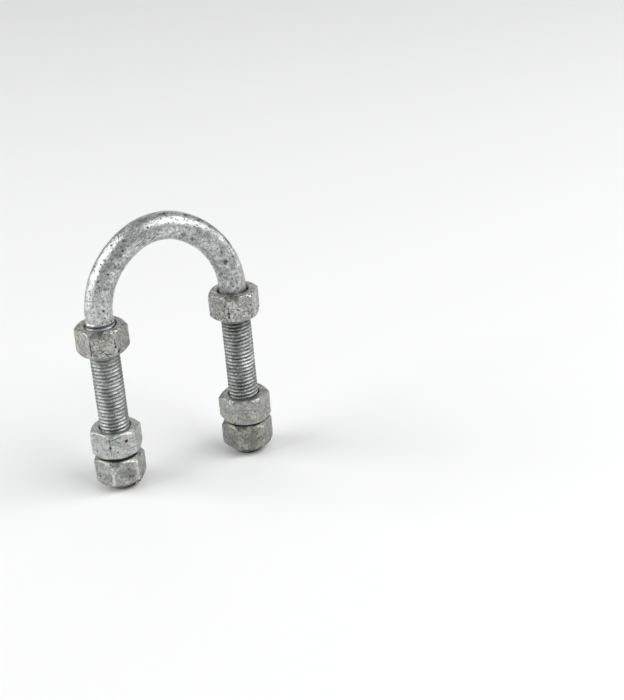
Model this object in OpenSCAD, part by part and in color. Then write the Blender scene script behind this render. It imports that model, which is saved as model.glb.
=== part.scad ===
// U-bolt: one round steel bar bent into a U, both legs threaded, three hexagon nuts on each leg.
// Millimetres. Origin midway between the two leg ends, +Z up through the crown of the bow,
// X from the left leg to the right leg.

/* [Thread] */
// Outside diameter of the thread
thread_d = 16; // [15:0.5:17]
// Distance from one thread crest to the next
pitch = 2; // [1.5:0.5:2]
// Height above the leg ends at which the thread stops
thread_top = 95; // [80:1:95]
// Depth of the chamfer round each leg end
end_chamfer = 0.9; // [0.5:0.1:1.2]

/* [Rod] */
// Diameter of the plain bar above the threads
shank_d = 14.5; // [14:0.1:14.7]
// Distance between the axes of the two legs
leg_spacing = 73; // [66:1:84]
// Height above the leg ends at which the bow starts to curve
bow_start = 95.5; // [94:0.5:100]
// Rise of the bow's centre line from its start to its crown
bow_rise = 41.3; // [40:0.1:44]
// Centre-line radius of the bend at the crown
crown_r = 29; // [27:0.5:32]
// How much thinner the bar is drawn round the crown than along the legs
crown_draw = 0.1; // [0.08:0.01:0.2]

/* [Nuts] */
// Width of a nut across its flats
nut_af = 24; // [22:0.5:25]
// Thickness of a nut
nut_h = 14.6; // [13:0.2:14.8]
// Diameter of the flat ring left inside the chamfers on each face of a nut
nut_face_d = 23; // [21:0.5:23.5]
// Slope of the corner chamfers, in degrees from the nut's face
nut_chamfer_angle = 35; // [30:1:45]
// Diameter of the countersink at each mouth of a nut
mouth_d = 17.4; // [17.2:0.1:17.8]
// Gap between the thread's crests and the wall of a nut's bore
thread_gap = 0.06; // [0.02:0.01:0.1]

/* [Nut places] */
// Height of the lower faces of both lock nuts
lock_base = 3.6; // [2.5:0.1:4]
// Space between the left lock nut and the left clamp nut
left_gap = 1.5; // [0.1:0.1:1.5]
// Space between the right lock nut and the right clamp nut
right_gap = 0.8; // [0.1:0.1:1.5]
// Height of the lower face of the left upper nut
left_upper_base = 77.5; // [75:0.1:79]
// Height of the lower face of the right upper nut
right_upper_base = 79.2; // [75:0.1:80]

/* [Nut turns] */
// Angle at which the left upper nut stands on its thread
left_upper_turn = 43; // [0:1:59]
// Angle at which the right upper nut stands
right_upper_turn = 55; // [0:1:59]
// Angle at which the left clamp nut stands
left_clamp_turn = 59; // [0:1:59]
// Angle at which the right clamp nut stands
right_clamp_turn = 39; // [0:1:59]
// Angle at which the left lock nut stands
left_lock_turn = 56; // [0:1:59]
// Angle at which the right lock nut stands
right_lock_turn = 48; // [0:1:59]

/* [Hidden] */

$fn = 96;
leg_x = leg_spacing / 2;

// A 60 degree thread: an eighth of the pitch stays flat on each crest.
thread_depth = 0.6134 * pitch;
crest_flat = pitch / 8;
groove_w = pitch - crest_flat;
groove_floor = groove_w - 2 * thread_depth * tan(30);
first_groove = end_chamfer + crest_flat + groove_w / 2;
groove_count = floor((thread_top - first_groove) / pitch);

// The bow is three tangent bends: a tight crown between two wider haunches. The haunch angle
// and radius are those that close the arch at this spacing and rise. The haunches run past
// the meeting point and the crown starts before it, so that each ends inside the other.
crown_drop = leg_x - crown_r;
crown_lift = bow_rise - crown_r;
haunch_angle = 2 * atan(crown_drop / crown_lift);
haunch_r = crown_r + crown_lift / sin(haunch_angle);
bend_lap = 1.5;
crown_from = haunch_angle - bend_lap;

nut_corner_r = nut_af / sqrt(3);
chamfer_h = (nut_corner_r - nut_face_d / 2) * tan(nut_chamfer_angle);
bore_r = thread_d / 2 + thread_gap;
mouth_depth = mouth_d / 2 - bore_r;
// The corner cutter stands this much outside the corners, and the bore cutter outside the faces
cutter_skin = 0.01;
cutter_end = 1;

zinc = [0.66, 0.68, 0.69];
dull_zinc = [0.56, 0.57, 0.56];

// One thread groove at height z, from its lower lip to its upper lip
function groove(z) = [
    [thread_d / 2, z - groove_w / 2],
    [thread_d / 2 - thread_depth, z - groove_floor / 2],
    [thread_d / 2 - thread_depth, z + groove_floor / 2],
    [thread_d / 2, z + groove_w / 2]
];

// Straight leg on its own axis, with the ring grooves that stand for the thread
module leg() {
    grooves = [for (i = [0 : groove_count - 1]) each groove(first_groove + i * pitch)];
    thread_end = first_groove + (groove_count - 0.5) * pitch;
    rotate_extrude()
        polygon(concat(
            [[0, 0], [thread_d / 2 - end_chamfer, 0], [thread_d / 2, end_chamfer]],
            grooves,
            [[thread_d / 2, thread_end],
             [shank_d / 2, thread_end + (thread_d - shank_d) / 2],
             [shank_d / 2, bow_start],
             [0, bow_start]]));
}

// Part of a ring of round bar in the XZ plane, counted from +X towards +Z
module bend(bend_r, bar_d, from_angle, sweep) {
    rotate([90, 0, 0])
        rotate([0, 0, from_angle])
            rotate_extrude(angle = sweep)
                translate([bend_r, 0])
                    circle(d = bar_d);
}

// The wide bend above the right leg
module haunch() {
    translate([leg_x - haunch_r, 0, bow_start])
        bend(haunch_r, shank_d, 0, haunch_angle + bend_lap);
}

// Bar with both legs and the bow in one piece
module u_rod() {
    color(zinc)
        union() {
            translate([leg_x, 0, 0])
                leg();
            translate([-leg_x, 0, 0])
                leg();
            haunch();
            mirror([1, 0, 0])
                haunch();
            translate([0, 0, bow_start + crown_lift])
                bend(crown_r, shank_d - crown_draw, crown_from, 180 - 2 * crown_from);
        }
}

// Hexagon nut standing on z = 0, chamfered on both faces, with a countersunk bore
module hex_nut(turn) {
    difference() {
        intersection() {
            rotate([0, 0, turn])
                cylinder(h = nut_h, r = nut_corner_r, $fn = 6);
            rotate_extrude()
                polygon([
                    [0, 0],
                    [nut_face_d / 2, 0],
                    [nut_corner_r + cutter_skin, chamfer_h],
                    [nut_corner_r + cutter_skin, nut_h - chamfer_h],
                    [nut_face_d / 2, nut_h],
                    [0, nut_h]
                ]);
        }
        rotate_extrude()
            polygon([
                [0, -cutter_end],
                [mouth_d / 2, -cutter_end],
                [mouth_d / 2, 0],
                [bore_r, mouth_depth],
                [bore_r, nut_h - mouth_depth],
                [mouth_d / 2, nut_h],
                [mouth_d / 2, nut_h + cutter_end],
                [0, nut_h + cutter_end]
            ]);
    }
}

// Upper nuts, at the top of each thread
module left_upper_nut() {
    color(dull_zinc) translate([-leg_x, 0, left_upper_base]) hex_nut(left_upper_turn);
}

module right_upper_nut() {
    color(dull_zinc) translate([leg_x, 0, right_upper_base]) hex_nut(right_upper_turn);
}

// Clamp nuts, above the lock nuts
module left_clamp_nut() {
    color(dull_zinc)
        translate([-leg_x, 0, lock_base + nut_h + left_gap]) hex_nut(left_clamp_turn);
}

module right_clamp_nut() {
    color(dull_zinc)
        translate([leg_x, 0, lock_base + nut_h + right_gap]) hex_nut(right_clamp_turn);
}

// Lock nuts, nearest the leg ends
module left_lock_nut() {
    color(dull_zinc) translate([-leg_x, 0, lock_base]) hex_nut(left_lock_turn);
}

module right_lock_nut() {
    color(dull_zinc) translate([leg_x, 0, lock_base]) hex_nut(right_lock_turn);
}

u_rod();
left_upper_nut();
right_upper_nut();
left_clamp_nut();
right_clamp_nut();
left_lock_nut();
right_lock_nut();
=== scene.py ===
from math import atan, atan2, cos, hypot, pi, radians, sin, tan

import bmesh
import bpy
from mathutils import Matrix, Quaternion, Vector, noise


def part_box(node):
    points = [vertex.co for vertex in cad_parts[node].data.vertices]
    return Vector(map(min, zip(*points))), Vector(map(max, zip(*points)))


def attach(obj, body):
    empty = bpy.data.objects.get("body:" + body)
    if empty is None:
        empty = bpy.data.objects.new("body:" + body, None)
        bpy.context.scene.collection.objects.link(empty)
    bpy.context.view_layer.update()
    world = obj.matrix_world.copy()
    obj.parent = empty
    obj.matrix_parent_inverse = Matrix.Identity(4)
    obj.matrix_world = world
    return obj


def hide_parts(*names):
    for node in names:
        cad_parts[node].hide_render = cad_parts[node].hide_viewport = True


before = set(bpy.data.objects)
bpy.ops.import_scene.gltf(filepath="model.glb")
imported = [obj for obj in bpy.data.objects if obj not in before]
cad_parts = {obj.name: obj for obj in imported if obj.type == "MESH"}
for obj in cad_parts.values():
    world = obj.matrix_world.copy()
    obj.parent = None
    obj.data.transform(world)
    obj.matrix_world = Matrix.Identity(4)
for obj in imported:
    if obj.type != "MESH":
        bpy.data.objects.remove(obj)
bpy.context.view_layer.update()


# ---------------------------------------------------------------------------------------
# The bar. A round steel bar with a rolled M16 thread on both ends, bent into a U and dipped
# in molten zinc, which leaves a lumpy, mottled skin and partly fills the thread.
# ---------------------------------------------------------------------------------------

mm = 0.001

rod_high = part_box("u_rod")[1]
left_low, left_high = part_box("left_lock_nut")
right_low, right_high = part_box("right_lock_nut")
left_x = (left_low.x + left_high.x) / 2 / mm
right_x = (right_low.x + right_high.x) / 2 / mm
crown_top = rod_high.z / mm

crest_r = 7.96
root_r = 6.79
thread_pitch = 2.0
thread_end = 92.9
runout = 1.9
shank_r = 7.25
end_chamfer_r = 7.1
leg_top = 94.6
round_the_bar = 64

# One pitch of the rolled thread: how far along the pitch, and how deep below the crest
THREAD_FORM = (
    (0.06, 0.0), (0.10, 0.06), (0.25, 0.5), (0.40, 0.94), (0.46, 1.0),
    (0.54, 1.0), (0.60, 0.94), (0.75, 0.5), (0.90, 0.06), (0.94, 0.0),
)

bow_start = 95.5
crown_r = 29.0
crown_tube_r = 7.2
bow_half = (right_x - left_x) / 2
bow_rise = crown_top - crown_tube_r - bow_start
crown_lift = bow_rise - crown_r
haunch_angle = 2 * atan((bow_half - crown_r) / crown_lift)
haunch_r = crown_r + crown_lift / sin(haunch_angle)


def smooth(low, high, value):
    """0 below low, 1 above high and an S-curve between."""
    share = min(max((value - low) / (high - low), 0.0), 1.0)
    return share * share * (3 - 2 * share)


def lumps(place, size, seed):
    """Zinc lumps of about this size in mm: from -1 to 1 at a place in mm."""
    return noise.noise(Vector(place) / size + Vector((seed, 7.3 * seed, 2.1 * seed)))


def new_piece(name, points, faces, body, replaced):
    """A smooth mesh from points in mm, welded and facing outwards, riding on its body."""
    mesh = bpy.data.meshes.new(name)
    mesh.from_pydata([Vector(p) * mm for p in points], [], faces)
    shaped = bmesh.new()
    shaped.from_mesh(mesh)
    bmesh.ops.remove_doubles(shaped, verts=shaped.verts, dist=0.004 * mm)
    bmesh.ops.dissolve_degenerate(shaped, edges=shaped.edges, dist=0.004 * mm)
    bmesh.ops.recalc_face_normals(shaped, faces=shaped.faces)
    for face in shaped.faces:
        face.smooth = True
    shaped.to_mesh(mesh)
    shaped.free()
    piece = bpy.data.objects.new(name, mesh)
    bpy.context.scene.collection.objects.link(piece)
    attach(piece, body)
    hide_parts(replaced)
    return piece


def leg_radius(angle, height, along_thread, seed, drip):
    """Radius of a leg where its thread has run this share of a pitch, lumps and all. The
    drip is how far a ring of zinc stands out above the thread."""
    depth = 0.0
    for (at, deep), (next_at, next_deep) in zip(THREAD_FORM, THREAD_FORM[1:]):
        if at <= along_thread <= next_at:
            depth = deep + (next_deep - deep) * (along_thread - at) / (next_at - at)
    place = (8 * cos(angle), 8 * sin(angle), height)
    filled = 0.34 + 0.5 * lumps(place, 6.0, seed) + 0.22 * lumps(place, 1.4, seed + 3)
    crest = crest_r - 0.08 + 0.12 * lumps(place, 0.9, seed + 5)
    thread = crest - depth * (crest_r - root_r) * (1 - max(filled, 0.0))
    fade = smooth(thread_end - runout, thread_end + 0.9, height)
    lip = smooth(93.1, 93.9, height) * (1 - smooth(93.9, leg_top, height))
    radius = thread + (shank_r - thread) * fade
    radius += lip * drip * (1 + 0.8 * lumps(place, 3.0, seed + 7))
    return min(radius, end_chamfer_r + height)


def add_leg(points, faces, centre_x, seed, drip):
    """One threaded leg, its end face and its run-out, as rows that follow the helix.
    Returns the indices of its top ring, counted from +X towards +Y."""
    rows = []
    turns = int(leg_top / thread_pitch) + 2
    for turn in range(-1, turns):
        for share, _ in THREAD_FORM:
            rows.append((turn + share, share))
    first = len(points)
    for row, (turned, share) in enumerate(rows):
        for column in range(round_the_bar):
            angle = 2 * pi * column / round_the_bar
            height = (turned + column / round_the_bar) * thread_pitch
            height = min(max(height, 0.0), leg_top)
            radius = leg_radius(angle, height, share, seed, drip)
            points.append((centre_x + radius * cos(angle), radius * sin(angle), height))
    form = len(THREAD_FORM)
    for row in range(len(rows) - 1):
        for column in range(round_the_bar):
            near = first + row * round_the_bar + column
            if column + 1 < round_the_bar:
                far = near + 1
            elif row + 1 + form < len(rows):
                far = first + (row + form) * round_the_bar
            else:
                continue
            faces.append((near, far, far + round_the_bar, near + round_the_bar))
    # the end face, in rings that dish slightly inwards
    outer = []
    for column in range(round_the_bar):
        angle = 2 * pi * column / round_the_bar
        outer.append(len(points))
        points.append((centre_x + end_chamfer_r * cos(angle), end_chamfer_r * sin(angle), 0.0))
    for share in (0.93, 0.75, 0.5, 0.25):
        inner = []
        for column in range(round_the_bar):
            angle = 2 * pi * column / round_the_bar
            radius = end_chamfer_r * share
            x = radius * cos(angle)
            y = radius * sin(angle)
            dish = 0.10 + 0.05 * lumps((x, y, seed), 2.5, seed)
            inner.append(len(points))
            points.append((centre_x + x, y, dish))
        for column in range(round_the_bar):
            after = (column + 1) % round_the_bar
            faces.append((outer[column], outer[after], inner[after], inner[column]))
        outer = inner
    faces.append(tuple(outer))
    top = []
    for column in range(round_the_bar):
        angle = 2 * pi * column / round_the_bar
        top.append(len(points))
        points.append((centre_x + shank_r * cos(angle), shank_r * sin(angle), leg_top))
    return top


def bow_line(travel):
    """Centre of the bow this far along it from the top of the left leg, and the direction
    that points to the inside of the bend there."""
    straight = bow_start - leg_top
    haunch = haunch_r * haunch_angle
    crown = crown_r * (pi - 2 * haunch_angle)
    if travel <= straight:
        return (left_x, leg_top + travel), (1.0, 0.0)
    travel -= straight
    if travel <= haunch:
        turn = travel / haunch_r
        inward = (cos(turn), -sin(turn))
        centre = (left_x + haunch_r, bow_start)
        return (centre[0] - haunch_r * inward[0], centre[1] - haunch_r * inward[1]), inward
    travel -= haunch
    if travel <= crown:
        turn = haunch_angle + travel / crown_r
        inward = (cos(turn), -sin(turn))
        centre = ((left_x + right_x) / 2, bow_start + crown_lift)
        return (centre[0] - crown_r * inward[0], centre[1] - crown_r * inward[1]), inward
    travel -= crown
    if travel <= haunch:
        turn = pi - haunch_angle + travel / haunch_r
        inward = (cos(turn), -sin(turn))
        centre = (right_x - haunch_r, bow_start)
        return (centre[0] - haunch_r * inward[0], centre[1] - haunch_r * inward[1]), inward
    travel -= haunch
    return (right_x, bow_start - travel), (-1.0, 0.0)


bow_length = 2 * (bow_start - leg_top) + 2 * haunch_r * haunch_angle
bow_length += crown_r * (pi - 2 * haunch_angle)


def on_bow(along, turned):
    """A place on the bow's skin: the share of the bow passed from the left leg, and degrees
    round the bar from the outside of the bend towards the front."""
    (x, z), (inward_x, inward_z) = bow_line(bow_length * along)
    outward = shank_r * cos(radians(turned))
    return (x - outward * inward_x, -shank_r * sin(radians(turned)), z - outward * inward_z)


def make_bar():
    """Both legs and the bow between them as one welded skin."""
    points = []
    faces = []
    left_top = add_leg(points, faces, left_x, 1.0, 0.32)
    right_top = add_leg(points, faces, right_x, 11.0, 0.04)
    rings = 190
    below = left_top
    for ring in range(1, rings):
        (x, z), (inward_x, inward_z) = bow_line(bow_length * ring / rings)
        along = bow_length * ring / rings
        ends = smooth(0, 6, along) * smooth(0, 6, bow_length - along)
        tube_r = shank_r - (shank_r - crown_tube_r) * ends
        above = []
        for column in range(round_the_bar):
            angle = 2 * pi * column / round_the_bar
            place = (x + 8 * cos(angle) * inward_x, 8 * sin(angle), z + 8 * cos(angle) * inward_z)
            swell = 0.07 * lumps(place, 8.0, 4.0) + 0.06 * lumps(place, 2.4, 5.0)
            radius = tube_r + ends * swell
            above.append(len(points))
            points.append((
                x + radius * cos(angle) * inward_x,
                radius * sin(angle),
                z + radius * cos(angle) * inward_z,
            ))
        for column in range(round_the_bar):
            after = (column + 1) % round_the_bar
            faces.append((below[column], below[after], above[after], above[column]))
        below = above
    # the bow's ring meets the right leg mirrored, because its inside faces the other leg
    half = round_the_bar // 2
    for column in range(round_the_bar):
        after = (column + 1) % round_the_bar
        faces.append((
            below[column],
            below[after],
            right_top[(half - after) % round_the_bar],
            right_top[(half - column) % round_the_bar],
        ))
    return new_piece("u_rod_zinc", points, faces, "rod", "u_rod")


bar = make_bar()


class Wire:
    """One output in a material. Arithmetic on it adds Math nodes after it."""

    def __init__(self, socket):
        self.socket = socket

    def node(self, kind, settings, sockets, out=0):
        """Adds a node: first its settings, then the values or links of its sockets."""
        tree = self.socket.id_data
        new = tree.nodes.new("ShaderNode" + kind)
        for name, value in settings.items():
            setattr(new, name, value)
        for name, value in sockets.items():
            if isinstance(value, Wire):
                tree.links.new(value.socket, new.inputs[name])
            else:
                new.inputs[name].default_value = value
        return Wire(new.outputs[out])

    def math(self, operation, first, second):
        return self.node("Math", {"operation": operation}, {0: first, 1: second})

    def __add__(self, other):
        return self.math("ADD", self, other)

    def __radd__(self, other):
        return self.math("ADD", other, self)

    def __sub__(self, other):
        return self.math("SUBTRACT", self, other)

    def __rsub__(self, other):
        return self.math("SUBTRACT", other, self)

    def __mul__(self, other):
        return self.math("MULTIPLY", self, other)

    def __rmul__(self, other):
        return self.math("MULTIPLY", other, self)

    def between(self, low, high):
        """0 where this is low, 1 where it is high, and an S-curve between."""
        return self.node(
            "MapRange",
            {"interpolation_type": "SMOOTHSTEP"},
            {"Value": self, "From Min": low, "From Max": high},
        )

    def most(self, other):
        return self.math("MAXIMUM", self, other)

    def grain(self, size, detail=3.0, roughness=0.55, offset=0.0):
        """Cloudy variation of this size in mm over a place, from 0 to 1 about 0.5."""
        moved = self.node(
            "VectorMath", {"operation": "ADD"}, {0: self, 1: (offset, offset, offset)}
        )
        return self.node(
            "TexNoise",
            {},
            {"Vector": moved, "Scale": 1 / size, "Detail": detail, "Roughness": roughness},
        )

    def blend(self, low, high):
        """The low colour where this is 0, the high colour where it is 1."""
        return self.node("Mix", {"data_type": "RGBA"}, {0: self, 6: low, 7: high}, out=2)

    def tint(self, share, other):
        """This colour turned towards another by a share."""
        return self.node("Mix", {"data_type": "RGBA"}, {0: share, 6: self, 7: other}, out=2)

    def distance(self, centre):
        """Distance in mm from a place to a centre."""
        return self.node("VectorMath", {"operation": "DISTANCE"}, {0: self, 1: centre}, out=1)


def start_finish(name):
    """A new material's Principled shader and the place on the piece in mm."""
    finish = bpy.data.materials.new(name)
    finish.use_nodes = True
    tree = finish.node_tree
    shader = next(n for n in tree.nodes if n.type == "BSDF_PRINCIPLED")
    object_place = Wire(tree.nodes.new("ShaderNodeTexCoord").outputs["Object"])
    place = object_place.node(
        "VectorMath", {"operation": "SCALE"}, {0: object_place, "Scale": 1 / mm}
    )
    return finish, shader, place


def from_leg(place):
    """Position across the part, distance from the axis of the nearer leg, and height, in mm."""
    axis_x = place.node("SeparateXYZ", {}, {"Vector": place})
    depth_y = place.node("SeparateXYZ", {}, {"Vector": place}, out=1)
    height = place.node("SeparateXYZ", {}, {"Vector": place}, out=2)
    beside = axis_x - axis_x.math("SIGN", axis_x, 0.0) * bow_half
    return axis_x, beside.math("POWER", beside * beside + depth_y * depth_y, 0.5), height


def connect(shader, name, wire):
    shader.id_data.links.new(wire.socket, shader.inputs[name])


def pits(place, spacing, size, share, offset):
    """Round pits with ragged edges: 1 in a pit. Share is the part of the cells that have one."""
    ragged = place.grain(size * 1.2, 2.0, 0.6, offset)
    shifted = place.node(
        "VectorMath",
        {"operation": "ADD"},
        {0: place, 1: ragged.node(
            "CombineXYZ", {}, {"X": ragged * size, "Y": ragged * size, "Z": ragged * -size}
        )},
    )
    sockets = {"Vector": shifted, "Scale": 1 / spacing, "Randomness": 1.0}
    near = place.node("TexVoronoi", {}, sockets)
    cell = place.node("TexVoronoi", {}, sockets, out=1)
    chosen = cell.node("SeparateColor", {}, {"Color": cell}).between(1 - share, 1 - share + 0.02)
    return (1 - near.between(0.45 * size / spacing, 1.1 * size / spacing)) * chosen


def streak(place, start, stop, width):
    """1 along the middle of a straight scratch between two places in mm."""
    run = Vector(stop) - Vector(start)
    middle = (Vector(start) + Vector(stop)) / 2
    offset = place.node("VectorMath", {"operation": "SUBTRACT"}, {0: place, 1: middle})
    along = offset.node(
        "VectorMath", {"operation": "DOT_PRODUCT"}, {0: offset, 1: run.normalized()}, out=1
    )
    whole = offset.node("VectorMath", {"operation": "LENGTH"}, {0: offset}, out=1)
    across = (whole * whole - along * along).most(0.0)
    inside = 1 - across.between(0.02 * width * width, width * width)
    return inside * (1 - (along * along).between(0.15 * run.length ** 2, 0.25 * run.length ** 2))


def stain(colour, place, marks, offset):
    """Colour with its marks: each is (place, size in mm, colour, strength)."""
    for spot, size, tone, strength in marks:
        ragged = 1.3 * size * (place.grain(size * 0.7, 3.0, 0.6, offset) - 0.5)
        edge = place.distance(spot) + ragged
        colour = colour.tint((1 - edge.between(size * 0.35, size)) * strength, tone)
    return colour


SOOT = (0.03, 0.03, 0.028, 1)
EARTH = (0.075, 0.062, 0.045, 1)
MOSS = (0.2, 0.2, 0.085, 1)
DULL_ZINC = (0.35, 0.358, 0.353, 1)
BRIGHT_ZINC = (0.76, 0.77, 0.758, 1)
CLOUDED_ZINC = (0.31, 0.314, 0.308, 1)
# the next colour is a painted highlight, used for a white patch on the right thread
PAINTED_HIGHLIGHT_WHITE = (0.85, 0.86, 0.84, 1)
THREAD_ZINC = (0.18, 0.188, 0.192, 1)
FLECK = (0.12, 0.12, 0.115, 1)
# the next two colours darken the right leg and haunch, partly as painted shade, and the thread's
# grooves
GRIME_AND_SHADE = (0.19, 0.192, 0.185, 1)
GROOVE_DIRT_AND_SHADE = (0.05, 0.053, 0.055, 1)

# Stains on the bow: (share of the bow, degrees round the bar), size in mm, colour, strength
BAR_MARKS = (
    ((0.45, 60), 1.0, SOOT, 0.9),
    ((0.60, 20), 1.5, EARTH, 0.9),
    ((0.65, 30), 1.2, EARTH, 0.75),
    ((0.70, 30), 1.0, EARTH, 0.6),
    ((0.80, 30), 1.2, EARTH, 0.7),
    ((0.55, 110), 1.5, SOOT, 0.5),
    ((0.60, 110), 2.0, SOOT, 0.6),
    ((0.65, 120), 1.5, SOOT, 0.5),
    ((0.35, 50), 1.0, SOOT, 0.7),
    ((0.30, 80), 1.2, SOOT, 0.6),
    ((0.25, 90), 1.2, SOOT, 0.6),
    ((0.15, 90), 1.5, SOOT, 0.6),
    ((0.25, 40), 0.8, SOOT, 0.6),
    ((0.85, 100), 2.0, SOOT, 0.8),
    ((0.85, 60), 1.0, SOOT, 0.7),
    ((0.80, 90), 1.2, SOOT, 0.6),
    ((0.90, 140), 1.0, SOOT, 0.6),
    ((0.40, 250), 1.5, SOOT, 0.6),
    ((0.70, 280), 1.2, SOOT, 0.6),
    ((0.20, 300), 1.0, EARTH, 0.6),
)
# Scratches on the front of the bow: from, to, width in mm
BAR_SCRATCHES = (
    ((0.36, 100), (0.42, 100), 0.34),
    ((0.38, 110), (0.41, 110), 0.3),
)


def bar_finish():
    """Bright mottled zinc on the bow, duller and darker in the thread's grooves."""
    finish, shader, place = start_finish("bar_zinc")
    axis_x, radius, height = from_leg(place)
    threaded = 1 - height.between(thread_end - 0.5, thread_end + 0.8)
    groove = threaded * (1 - radius.between(6.95, 7.75))

    clouds = place.grain(7.0, 3.0, 0.6)
    mottle = place.grain(1.5, 4.0, 0.75, 3.0)
    speckle = place.grain(0.7, 2.0, 0.6, 9.0)
    sparse = clouds.between(0.42, 0.56)
    pitted = pits(place, 1.05, 0.4, 0.35, 2.0) * sparse
    pitted = pitted.most(pits(place, 2.2, 0.5, 0.22, 4.0))
    pitted = pitted.most(pits(place, 5.0, 0.95, 0.25, 6.0))
    pitted = pitted * (1 - threaded)

    colour = mottle.between(0.36, 0.62).blend(DULL_ZINC, BRIGHT_ZINC)
    colour = colour.tint(clouds.between(0.46, 0.66) * 0.5, CLOUDED_ZINC)
    fleck_share = 0.45 + 0.5 * clouds.between(0.42, 0.6)
    colour = colour.tint(speckle.between(0.54, 0.66) * fleck_share, FLECK)
    # the right leg and haunch are darker in grey clouds: partly grime and partly painted shade of
    # the side away from the main lamp
    right_side_grime_and_shade = axis_x.between(0.0, 36.0)
    grime_and_shade_clouds = place.grain(3.2, 4.0, 0.7, 13.0).between(0.42, 0.6)
    colour = colour.tint(right_side_grime_and_shade * grime_and_shade_clouds * 0.5, GRIME_AND_SHADE)
    colour = colour.tint(threaded * 0.4, THREAD_ZINC)
    # a painted highlight: a round white patch on the front of the right thread
    painted_highlight_patch = 1 - place.distance((right_x + 2, -7, 55)).between(2.5, 7.5)
    colour = colour.tint(painted_highlight_patch * 0.5, PAINTED_HIGHLIGHT_WHITE)
    # the thread's grooves are tinted near-black with dirt, more strongly on the right, where the
    # extra darkening is partly painted shade
    colour = colour.tint(groove * (0.5 + 0.3 * right_side_grime_and_shade), GROOVE_DIRT_AND_SHADE)
    colour = colour.tint(pitted * 0.85, SOOT)
    marks = [(on_bow(*spot), size, tone, strength) for spot, size, tone, strength in BAR_MARKS]
    colour = stain(colour, place, marks, 21.0)
    for start, stop, width in BAR_SCRATCHES:
        scratch = streak(place, on_bow(*start), on_bow(*stop), width)
        colour = colour.tint(scratch * 0.9, SOOT)
    connect(shader, "Base Color", colour)
    shader.inputs["Metallic"].default_value = 1.0
    dull = 0.25 + 0.16 * clouds + 0.12 * mottle + 0.3 * pitted + 0.08 * threaded
    connect(shader, "Roughness", dull)
    relief = 0.6 * place.grain(1.6, 3.0, 0.55, 5.0) + 0.5 * speckle - 0.5 * pitted
    bumped = relief.node(
        "Bump", {}, {"Height": relief, "Strength": 0.8, "Distance": 0.3 * mm}
    )
    connect(shader, "Normal", bumped)
    return finish


bar.data.materials.append(bar_finish())


# ---------------------------------------------------------------------------------------
# The upper nuts. Forged steel hexagon nuts, chamfered on both faces, tapped and then coated
# with zinc. They stand at the top of each thread, with dirt along their top edges.
# ---------------------------------------------------------------------------------------

nut_af_r = 12.0
nut_mouth_r = 8.7
nut_bore_r = 8.07
nut_corner_round = 0.2
front_flat = 210  # degrees from a nut's turn to the flat nearest the front


def hexagon(turn):
    """Angle and distance of the nut's outline, corners rounded, once round."""
    outline = []
    flat = (nut_af_r - nut_corner_round) * tan(pi / 6)
    corner = (nut_af_r - nut_corner_round) / cos(pi / 6)
    steps = 22
    bends = 5
    for side in range(6):
        facing = radians(turn + 30) + side * pi / 3
        for step in range(steps + 1):
            across = flat * (2 * step / steps - 1)
            outline.append((facing + atan2(across, nut_af_r), hypot(across, nut_af_r)))
        for bend in range(1, bends):
            swing = facing + pi / 3 * bend / bends
            x = corner * cos(facing + pi / 6) + nut_corner_round * cos(swing)
            y = corner * sin(facing + pi / 6) + nut_corner_round * sin(swing)
            away = atan2(y, x)
            while away < facing:
                away += 2 * pi
            outline.append((away, hypot(x, y)))
    return outline


def on_flat(node, turn, side, across, up):
    """A place on a nut: side 0 is the flat nearest the front, -1 and 1 its neighbours, then
    mm to the right of that flat's middle and mm above the nut's foot."""
    low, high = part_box(node)
    facing = radians(turn + front_flat + 60 * side)
    return (
        (low.x + high.x) / 2 / mm + nut_af_r * cos(facing) - across * sin(facing),
        nut_af_r * sin(facing) + across * cos(facing),
        low.z / mm + up,
    )


def nut_section(angle, reach, height, chamfer):
    """The nut's section where its side stands this far out, as (radius, height) points
    from the lower bore edge round the outside to the upper one, edges rounded. The chamfer
    is (radius of the flat end face, its slope in degrees, how far it was cut off centre,
    towards what angle)."""
    face_r, slant, off_centre, towards = chamfer
    face_r = min(face_r + off_centre * cos(angle - radians(towards)), reach - 0.1)
    rise = tan(radians(slant))
    slope = (reach - face_r) * rise
    mouth = nut_mouth_r - nut_bore_r
    corners = (
        (nut_bore_r, mouth, 0.0, 1),
        (nut_mouth_r, 0.0, 0.18, 4),
        (face_r, 0.0, 0.3, 3),
        (reach, slope, 0.22, 26),
        (reach, height - slope, 0.22, 3),
        (face_r, height, 0.3, 4),
        (nut_mouth_r, height, 0.18, 1),
        (nut_bore_r, height - mouth, 0.0, 6),
    )
    section = []
    for index, (x, z, easing, steps) in enumerate(corners):
        before = corners[index - 1]
        after = corners[(index + 1) % len(corners)]
        if easing:
            back = hypot(before[0] - x, before[1] - z)
            ahead = hypot(after[0] - x, after[1] - z)
            ease_back = min(easing, back * 0.45) / back
            ease_ahead = min(easing, ahead * 0.45) / ahead
            start = (x + (before[0] - x) * ease_back, z + (before[1] - z) * ease_back)
            stop = (x + (after[0] - x) * ease_ahead, z + (after[1] - z) * ease_ahead)
            for share in (0.0, 1 / 3, 2 / 3, 1.0):
                far = (1 - share) ** 2
                mid = 2 * share * (1 - share)
                near = share ** 2
                section.append((
                    far * start[0] + mid * x + near * stop[0],
                    far * start[1] + mid * z + near * stop[1],
                ))
        else:
            stop = (x, z)
            section.append(stop)
        # stop short of where the next corner's rounding begins
        trim = 0.0
        if after[2]:
            ahead = hypot(after[0] - x, after[1] - z)
            trim = min(after[2], ahead * 0.45) / ahead
        goal = (after[0] + (x - after[0]) * trim, after[1] + (z - after[1]) * trim)
        for step in range(1, steps):
            share = step / steps
            section.append((
                stop[0] + (goal[0] - stop[0]) * share,
                stop[1] + (goal[1] - stop[1]) * share,
            ))
    return section


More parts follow.
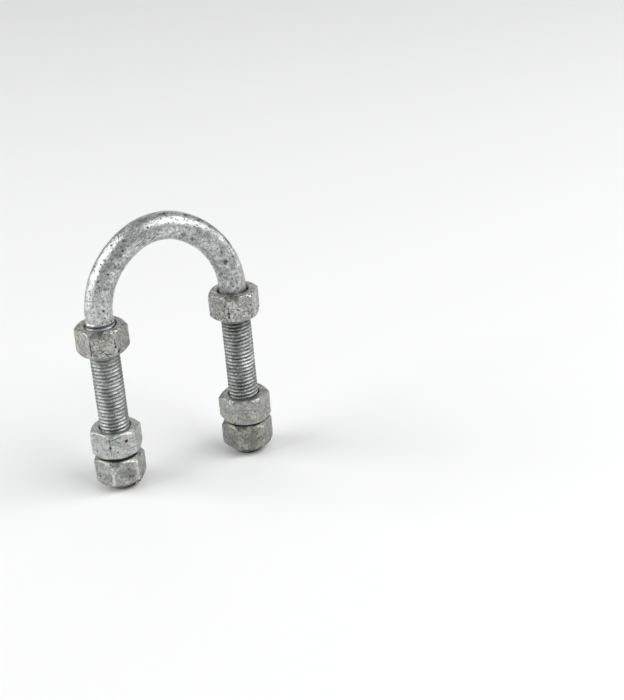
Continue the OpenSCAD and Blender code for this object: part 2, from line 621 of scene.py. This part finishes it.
def make_nut(node, body, turn, chamfer, seed, roughness, dents):
    """A hexagon nut in its node's place. Dents are ((side, across, up), radius, depth)."""
    low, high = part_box(node)
    centre_x = (low.x + high.x) / 2 / mm
    base = low.z / mm
    height = (high.z - low.z) / mm
    outline = hexagon(turn)
    dents = [(on_flat(node, turn, *spot), size, depth) for spot, size, depth in dents]
    points = []
    faces = []
    for angle, reach in outline:
        for radius, z in nut_section(angle, reach, height, chamfer):
            place = (radius * cos(angle), radius * sin(angle), z)
            free = smooth(nut_mouth_r, nut_mouth_r + 1.2, radius)
            swell = free * roughness * (
                0.10 * lumps(place, 5.0, seed) + 0.06 * lumps(place, 1.7, seed + 2)
            )
            corner = smooth(12.6, 13.5, radius)
            swell -= corner * roughness * 0.06 * (1 + lumps(place, 1.3, seed + 4))
            whole = Vector((centre_x, 0, base)) + Vector(place)
            for dent, size, depth in dents:
                gap = (whole - Vector(dent)).length / size
                if gap < 1:
                    swell -= depth * (1 - gap * gap) ** 2
            outward = Vector((cos(angle), sin(angle), 0)) * (radius + swell)
            points.append((centre_x + outward.x, outward.y, base + z))
    columns = len(outline)
    rows = len(points) // columns
    for column in range(columns):
        after = (column + 1) % columns
        for row in range(rows):
            up = (row + 1) % rows
            faces.append((
                column * rows + row,
                after * rows + row,
                after * rows + up,
                column * rows + up,
            ))
    return new_piece(node + "_zinc", points, faces, body, node)


def hairlines(place, spacing, offset):
    """A net of fine wandering cracks about this far apart in mm: 1 in a crack."""
    bend = 0.8 * spacing * (place.grain(spacing * 0.6, 3.0, 0.6, offset) - 0.5)
    shift = bend.node("CombineXYZ", {}, {"X": bend, "Y": bend, "Z": bend * -1})
    moved = place.node("VectorMath", {"operation": "ADD"}, {0: place, 1: shift})
    edge = moved.node(
        "TexVoronoi", {"feature": "DISTANCE_TO_EDGE"}, {"Vector": moved, "Scale": 1 / spacing}
    )
    return 1 - edge.between(0.0, 0.06)


def nut_finish(node, turn, dark, light, speckled, pit_share, rubbing, offset, marks, cracks=()):
    """Zinc on a forged nut. Marks are ((side, across, up), size, colour, strength) and
    cracks are (from, to, width), each end a (side, across, up)."""
    finish, shader, place = start_finish(node.replace("_nut", "_zinc"))
    clouds = place.grain(4.5, 3.0, 0.6, offset)
    mottle = place.grain(1.3, 4.0, 0.75, offset + 3)
    speckle = place.grain(0.7, 2.0, 0.6, offset + 9)
    pitted = pits(place, 2.2, 0.55, pit_share, offset)
    colour = mottle.between(0.36, 0.62).blend(dark, light)
    mid = [(a + b) / 2 * 0.75 for a, b in zip(dark[:3], light[:3])] + [1]
    colour = colour.tint(clouds.between(0.42, 0.62) * 0.6, mid)
    colour = colour.tint(speckle.between(0.52, 0.64) * speckled, (0.085, 0.085, 0.077, 1))
    crazed = hairlines(place, 3.6, offset) * clouds.between(0.46, 0.56)
    colour = colour.tint(crazed * 0.6, (0.05, 0.05, 0.046, 1))
    _, radius, _ = from_leg(place)
    worn = place.grain(2.0, 3.0, 0.6, offset + 7).between(0.35, 0.5)
    rubbed = radius.between(13.3, 13.6) * worn * rubbing
    colour = colour.tint(rubbed, (0.86, 0.86, 0.83, 1))
    colour = colour.tint(pitted * 0.85, SOOT)
    marks = [(on_flat(node, turn, *spot), *rest) for spot, *rest in marks]
    colour = stain(colour, place, marks, offset)
    for start, stop, width in cracks:
        crack = streak(place, on_flat(node, turn, *start), on_flat(node, turn, *stop), width)
        colour = colour.tint(crack * 0.9, SOOT)
    connect(shader, "Base Color", colour)
    shader.inputs["Metallic"].default_value = 1.0
    connect(shader, "Roughness", 0.28 + 0.14 * clouds + 0.1 * mottle + 0.25 * pitted)
    relief = 0.6 * place.grain(1.5, 3.0, 0.5, offset + 5) + 0.4 * speckle - 0.5 * pitted
    bumped = relief.node(
        "Bump", {}, {"Height": relief, "Strength": 0.9, "Distance": 0.3 * mm}
    )
    connect(shader, "Normal", bumped)
    return finish


left_upper_turn = 43
left_upper = make_nut(
    "left_upper_nut", "left_upper", left_upper_turn,
    chamfer=(11.5, 35, 0.5, 170), seed=2.0, roughness=1.0, dents=(
        ((0, 6.5, 8), 0.9, 0.3),
        ((0, 6.5, 6), 0.9, 0.35),
        ((1, -5, 3), 0.9, 0.35),
    ),
)
left_upper.data.materials.append(nut_finish(
    "left_upper_nut", left_upper_turn, dark=(0.20, 0.20, 0.183, 1), light=(0.60, 0.60, 0.57, 1),
    speckled=0.4, pit_share=0.2, rubbing=0.25, offset=1.0, marks=(
        ((0, -4, 13), 2.0, EARTH, 0.5),
        ((0, 0, 13), 3.0, EARTH, 0.55),
        ((0, 4, 13), 2.5, EARTH, 0.5),
        ((0, 6.5, 8), 0.8, SOOT, 0.9),
        ((0, 6.5, 6), 1.0, SOOT, 0.95),
        ((1, -5, 3), 1.2, SOOT, 0.95),
    ), cracks=(
        ((0, -2, 6), (0, 3, 1), 0.3),
        ((0, -6, 11), (0, -6, 2), 0.35),
        ((0, -2, 3), (0, 1, 5), 0.3),
        ((0, 6.5, 11), (0, 6.5, 5), 0.35),
        ((0, 1, 3), (0, 4, 2), 0.28),
        ((3, -3, 9), (3, 2, 4), 0.3),
    ),
))
right_upper_turn = 55
right_upper = make_nut(
    "right_upper_nut", "right_upper", right_upper_turn,
    chamfer=(11.5, 35, 0.3, 0), seed=5.0, roughness=1.3, dents=(
        ((0, -6.5, 6), 0.9, 0.3),
        ((0, -6.5, 4), 0.9, 0.35),
    ),
)
right_upper.data.materials.append(nut_finish(
    "right_upper_nut", right_upper_turn, dark=(0.22, 0.22, 0.205, 1), light=(0.70, 0.70, 0.67, 1),
    speckled=0.75, pit_share=0.4, rubbing=0.1, offset=17.0, marks=(
        ((0, -6.5, 6), 0.9, SOOT, 0.95),
        ((0, -6.5, 4), 0.9, SOOT, 0.95),
        ((-1, 4, 3), 0.7, SOOT, 0.9),
        ((-1, 5, 10), 0.8, SOOT, 0.8),
        ((0, -2, 14), 2.5, (0.09, 0.09, 0.085, 1), 0.7),
        ((0, -1, 7), 0.7, SOOT, 0.8),
        ((2, 0, 13), 1.0, SOOT, 0.8),
    ), cracks=(
        ((0, -6.5, 10), (0, -6.5, 3), 0.26),
        ((3, 2, 10), (3, 5, 5), 0.3),
    ),
))


# ---------------------------------------------------------------------------------------
# The clamp nuts. The cleaner pair, which press the clamped plate from below: the left one
# is pale, with a dark red spot on its front flat, and the right one is greyer.
# ---------------------------------------------------------------------------------------

left_clamp_turn = 59
left_clamp = make_nut(
    "left_clamp_nut", "left_clamp", left_clamp_turn,
    chamfer=(11.25, 37, 0.6, 165), seed=8.0, roughness=0.8, dents=(
        ((0, -7, 12), 0.9, 0.3),
        ((0, -7, 8), 1.1, 0.4),
        ((0, -7, 6), 0.8, 0.25),
    ),
)
left_clamp.data.materials.append(nut_finish(
    "left_clamp_nut", left_clamp_turn, dark=(0.36, 0.37, 0.352, 1), light=(0.67, 0.68, 0.655, 1),
    speckled=0.35, pit_share=0.08, rubbing=0.15, offset=31.0, marks=(
        ((0, 2, 10), 1.5, (0.045, 0.012, 0.012, 1), 0.95),
        ((0, -7, 12), 1.1, SOOT, 0.9),
        ((0, -7, 8), 1.2, SOOT, 0.95),
        ((-1, -3, 4), 0.9, SOOT, 0.7),
        ((-1, 4, 4), 0.9, SOOT, 0.6),
    ), cracks=(
        ((0, -7, 12), (0, -7, 3), 0.42),
        ((0, -6, 12), (0, 0, 13), 0.34),
    ),
))
right_clamp_turn = 39
right_clamp = make_nut(
    "right_clamp_nut", "right_clamp", right_clamp_turn,
    chamfer=(11.5, 35, 0.7, -15), seed=12.0, roughness=0.8, dents=(
        ((1, 5, 4), 0.9, 0.3),
        ((0, -6, 2), 0.8, 0.25),
    ),
)
right_clamp.data.materials.append(nut_finish(
    "right_clamp_nut", right_clamp_turn, dark=(0.27, 0.276, 0.258, 1), light=(0.54, 0.546, 0.52, 1),
    speckled=0.45, pit_share=0.12, rubbing=0.1, offset=43.0, marks=(
        ((1, 5, 4), 0.9, SOOT, 0.95),
        ((0, 2, 5), 1.0, SOOT, 0.4),
        ((0, -6, 2), 0.8, SOOT, 0.9),
        ((3, 0, 8), 1.5, EARTH, 0.5),
    ),
))


# ---------------------------------------------------------------------------------------
# The lock nuts. The lowest pair, which back up the clamp nuts with a small gap left between:
# dull zinc, with greenish stains that are mostly near the top edges of their flats.
# ---------------------------------------------------------------------------------------

left_lock_turn = 56
left_lock = make_nut(
    "left_lock_nut", "left_lock", left_lock_turn,
    chamfer=(11.1, 37, 0.4, 150), seed=15.0, roughness=1.2, dents=(
        ((0, -7, 13), 0.8, 0.2),
    ),
)
left_lock.data.materials.append(nut_finish(
    "left_lock_nut", left_lock_turn, dark=(0.26, 0.265, 0.25, 1), light=(0.62, 0.627, 0.60, 1),
    speckled=0.5, pit_share=0.15, rubbing=0.6, offset=57.0, marks=(
        ((0, 6, 14), 1.5, MOSS, 0.8),
        ((0, -7, 13), 1.1, SOOT, 0.8),
        ((-1, -3, 5), 1.1, SOOT, 0.7),
        ((0, 1, 7), 6.0, (0.14, 0.142, 0.132, 1), 0.6),
        ((0, 3, 5), 1.5, SOOT, 0.5),
        ((1, 0, 4), 1.2, SOOT, 0.6),
    ),
))


right_lock_turn = 48
right_lock = make_nut(
    "right_lock_nut", "right_lock", right_lock_turn,
    chamfer=(11.1, 37, 0.4, 0), seed=19.0, roughness=1.2, dents=(
        ((0, -7, 13), 0.9, 0.25),
        ((0, -7, 3), 0.8, 0.25),
    ),
)
right_lock.data.materials.append(nut_finish(
    "right_lock_nut", right_lock_turn, dark=(0.17, 0.175, 0.157, 1), light=(0.46, 0.466, 0.43, 1),
    speckled=0.5, pit_share=0.2, rubbing=0.15, offset=71.0, marks=(
        ((0, -7, 13), 0.9, SOOT, 0.9),
        ((-1, 2, 13), 1.5, MOSS, 0.5),
        ((0, -3, 14), 2.0, MOSS, 0.7),
        ((0, 3, 11), 1.5, MOSS, 0.6),
        ((0, 4, 6), 2.0, MOSS, 0.5),
        ((0, 4, 7), 0.8, SOOT, 0.7),
        ((0, -7, 3), 0.7, SOOT, 0.9),
        ((0, 0, 7), 5.0, (0.11, 0.11, 0.095, 1), 0.5),
        ((2, 0, 9), 2.0, MOSS, 0.5),
    ),
))


# ---------------------------------------------------------------------------------------
# The grit. Rust-coloured crumbs of dirt stuck to the foot of the left leg and to the under
# side of the left lock nut. It is loose matter and not part of the bolt's metal.
# ---------------------------------------------------------------------------------------

def make_crumbs(name, heap, body, seed):
    """Lumps of grit: each is (place in mm, radius in mm)."""
    grit = bmesh.new()
    for number, (place, size) in enumerate(heap):
        lump = bmesh.ops.create_icosphere(grit, subdivisions=3, radius=1.0)
        for vertex in lump["verts"]:
            swell = 1 + 0.45 * lumps(vertex.co, 0.8, seed + number)
            vertex.co = (Vector(place) + vertex.co * size * swell) * mm
    mesh = bpy.data.meshes.new(name)
    for face in grit.faces:
        face.smooth = True
    grit.to_mesh(mesh)
    grit.free()
    piece = bpy.data.objects.new(name, mesh)
    bpy.context.scene.collection.objects.link(piece)
    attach(piece, body)
    return piece


def heap(radius, first, last, count, height, size):
    """Crumbs along an arc round the left leg, between two directions in degrees."""
    crumbs = []
    for number in range(count):
        angle = radians(first + (last - first) * number / (count - 1))
        away = radius + 0.6 * lumps((number, 0.5, 0.5), 0.7, 2.0)
        place = (left_x + away * cos(angle), away * sin(angle), height)
        crumbs.append((place, size * (1 + 0.3 * lumps((0.5, number, 0.5), 0.7, 6.0))))
    return crumbs


foot_crumbs = make_crumbs("foot_crumbs", heap(7.7, -105, -50, 12, 0.7, 0.45), "rod", 3.0)
nut_crumbs = make_crumbs("nut_crumbs", heap(11.2, -60, -35, 5, 3.3, 0.42), "left_lock", 9.0)
crumb_finish, crumb_shader, crumb_place = start_finish("grit")
crumb_mottle = crumb_place.grain(0.7, 3.0, 0.6)
crumb_dark = (0.06, 0.035, 0.018, 1)
crumb_light = (0.30, 0.20, 0.08, 1)
crumb_colour = crumb_mottle.between(0.4, 0.6).blend(crumb_dark, crumb_light)
connect(crumb_shader, "Base Color", crumb_colour)
crumb_shader.inputs["Roughness"].default_value = 0.85
foot_crumbs.data.materials.append(crumb_finish)
nut_crumbs.data.materials.append(crumb_finish)


# ---------------------------------------------------------------------------------------
# The floor. A wide sheet of matt white card that the part stands on. It is plain and flat,
# with only the faint grain of its fibres, and it runs past what the camera sees.
# ---------------------------------------------------------------------------------------

floor_half = 6.0
card = bpy.data.meshes.new("floor")
card.from_pydata(
    [(-floor_half, -floor_half, 0), (floor_half, -floor_half, 0),
     (floor_half, floor_half, 0), (-floor_half, floor_half, 0)],
    [],
    [(0, 1, 2, 3)],
)
floor = bpy.data.objects.new("floor", card)
bpy.context.scene.collection.objects.link(floor)

floor_finish, floor_shader, floor_place = start_finish("white_card")
floor_fibre = floor_place.grain(1.2, 3.0, 0.6)
card_dark = (0.86, 0.86, 0.862, 1)
card_light = (0.88, 0.88, 0.882, 1)
floor_colour = floor_fibre.blend(card_dark, card_light)
connect(floor_shader, "Base Color", floor_colour)
floor_shader.inputs["Roughness"].default_value = 0.8
floor.data.materials.append(floor_finish)


# ---------------------------------------------------------------------------------------
# The lights. Four softboxes stand round the part in an evenly lit room. The largest is on
# the left, one is above the front right, and two weak ones are at the right and the back.
# ---------------------------------------------------------------------------------------

aim_point = (0.0, 0.0, 0.08)
room = bpy.data.worlds.new("room")
bpy.context.scene.world = room
room.use_nodes = True
room.node_tree.nodes["Background"].inputs["Color"].default_value = (0.98, 0.99, 1.0, 1)
room.node_tree.nodes["Background"].inputs["Strength"].default_value = 0.30


def softbox(name, place, width, height, power):
    """A soft rectangular lamp at a place in metres, turned towards the part."""
    lamp = bpy.data.lights.new(name, "AREA")
    lamp.shape = "RECTANGLE"
    lamp.size = width
    lamp.size_y = height
    lamp.energy = power
    box = bpy.data.objects.new(name, lamp)
    box.location = place
    box.rotation_mode = "QUATERNION"
    box.rotation_quaternion = (Vector(aim_point) - Vector(place)).to_track_quat("-Z", "Y")
    bpy.context.scene.collection.objects.link(box)


softbox("left_softbox", (-1.7, 0.5, 1.05), width=1.9, height=1.9, power=34)
softbox("front_softbox", (0.92, -0.9, 1.5), width=1.7, height=1.1, power=26)
softbox("right_softbox", (1.9, -0.1, 0.55), width=1.0, height=0.8, power=7)
softbox("back_softbox", (0.9, 2.1, 1.05), width=2.4, height=1.1, power=6)


# ---------------------------------------------------------------------------------------
# The camera. It stands in front of the part, to the left and above, and looks down at a
# point on the floor beyond it. It is rolled slightly, so the legs lean in the frame.
# ---------------------------------------------------------------------------------------

camera_aim = Vector((0.1183, 0.0961, 0.0))
camera_away = 0.988
camera_lens = 82.51
camera_sensor = 36
camera_bearing = radians(22.54)
camera_dip = radians(24.49)
camera_roll = radians(-4.91)
look = Vector((
    sin(camera_bearing) * cos(camera_dip),
    cos(camera_bearing) * cos(camera_dip),
    -sin(camera_dip),
))
camera = bpy.data.objects.new("camera", bpy.data.cameras.new("camera"))
camera.data.sensor_width = camera_sensor
camera.data.lens = camera_lens
camera.data.clip_start = 0.05
camera.data.clip_end = 20
camera.location = camera_aim - look * camera_away
camera.rotation_mode = "QUATERNION"
camera.rotation_quaternion = look.to_track_quat("-Z", "Y") @ Quaternion((0, 0, 1), camera_roll)
bpy.context.scene.collection.objects.link(camera)
bpy.context.scene.camera = camera
bpy.context.scene.view_settings.view_transform = "Standard"
